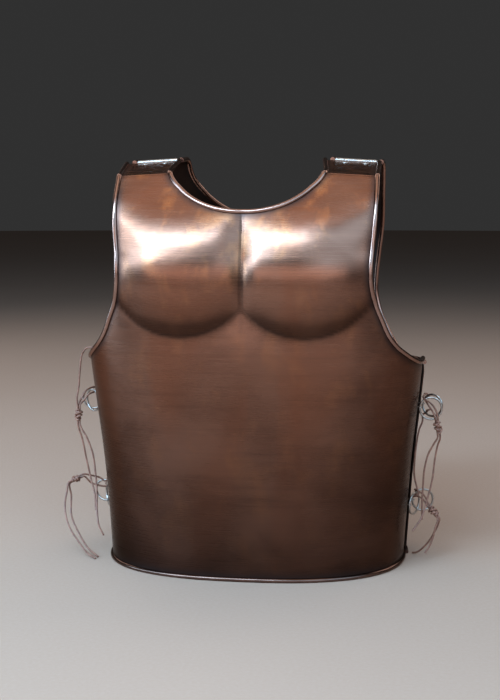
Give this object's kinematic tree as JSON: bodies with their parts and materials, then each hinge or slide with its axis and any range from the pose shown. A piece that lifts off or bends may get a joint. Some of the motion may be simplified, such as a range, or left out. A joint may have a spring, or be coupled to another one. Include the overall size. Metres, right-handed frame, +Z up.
{
  "type": "muscle cuirass",
  "caption": "Plain muscle cuirass of copper-coloured sheet steel: chest and back plates hinged on the shoulders and laced with leather through rings at the sides.",
  "frame": {"origin": "middle of the footprint, on the plane that the bottom rim stands on", "axes": "+Z up, -Y towards the chest, +X towards the wearer's left"},
  "size_m": [0.4508, 0.2814, 0.4682],
  "materials": {
    "copper": "sheet steel with an antiqued copper finish, brushed, darker in the hollows",
    "steel": "plain bright steel wire and hinges, slightly dulled",
    "leather": "reddish brown leather thong, matt and slightly worn"
  },
  "bodies": {
    "root": {"backplate": "copper", "breastplate": "copper", "hinge_leaf_back_left": "steel", "hinge_leaf_back_right": "steel", "hinge_leaf_front_left": "steel", "hinge_leaf_front_right": "steel", "hinge_pin_left": "steel", "hinge_pin_right": "steel", "hinge_rivet_back_left_inner": "steel", "hinge_rivet_back_left_outer": "steel", "hinge_rivet_back_right_inner": "steel", "hinge_rivet_back_right_outer": "steel", "hinge_rivet_front_left_inner": "steel", "hinge_rivet_front_left_outer": "steel", "hinge_rivet_front_right_inner": "steel", "hinge_rivet_front_right_outer": "steel", "lace_left_lower_knot": "leather", "lace_left_lower_loop": "leather", "lace_left_lower_tail_long": "leather", "lace_left_lower_tail_short": "leather", "lace_left_upper_knot": "leather", "lace_left_upper_loop": "leather", "lace_left_upper_strand": "leather", "lace_left_upper_tail_back": "leather", "lace_left_upper_tail_front": "leather", "lace_right_lower_knot": "leather", "lace_right_lower_loop": "leather", "lace_right_lower_tail_inner": "leather", "lace_right_lower_tail_outer": "leather", "lace_right_upper_arch": "leather", "lace_right_upper_knot": "leather", "lace_right_upper_loop": "leather", "lace_right_upper_tail_back": "leather", "lace_right_upper_tail_front": "leather", "ring_eye_back_left_lower": "steel", "ring_eye_back_left_upper": "steel", "ring_eye_back_right_lower": "steel", "ring_eye_back_right_upper": "steel", "ring_eye_front_left_lower": "steel", "ring_eye_front_left_upper": "steel", "ring_eye_front_right_lower": "steel", "ring_eye_front_right_upper": "steel", "side_ring_back_left_lower": "steel", "side_ring_back_left_upper": "steel", "side_ring_back_right_lower": "steel", "side_ring_back_right_upper": "steel", "side_ring_front_left_lower": "steel", "side_ring_front_left_upper": "steel", "side_ring_front_right_lower": "steel", "side_ring_front_right_upper": "steel"}
  },
  "joints": []
}
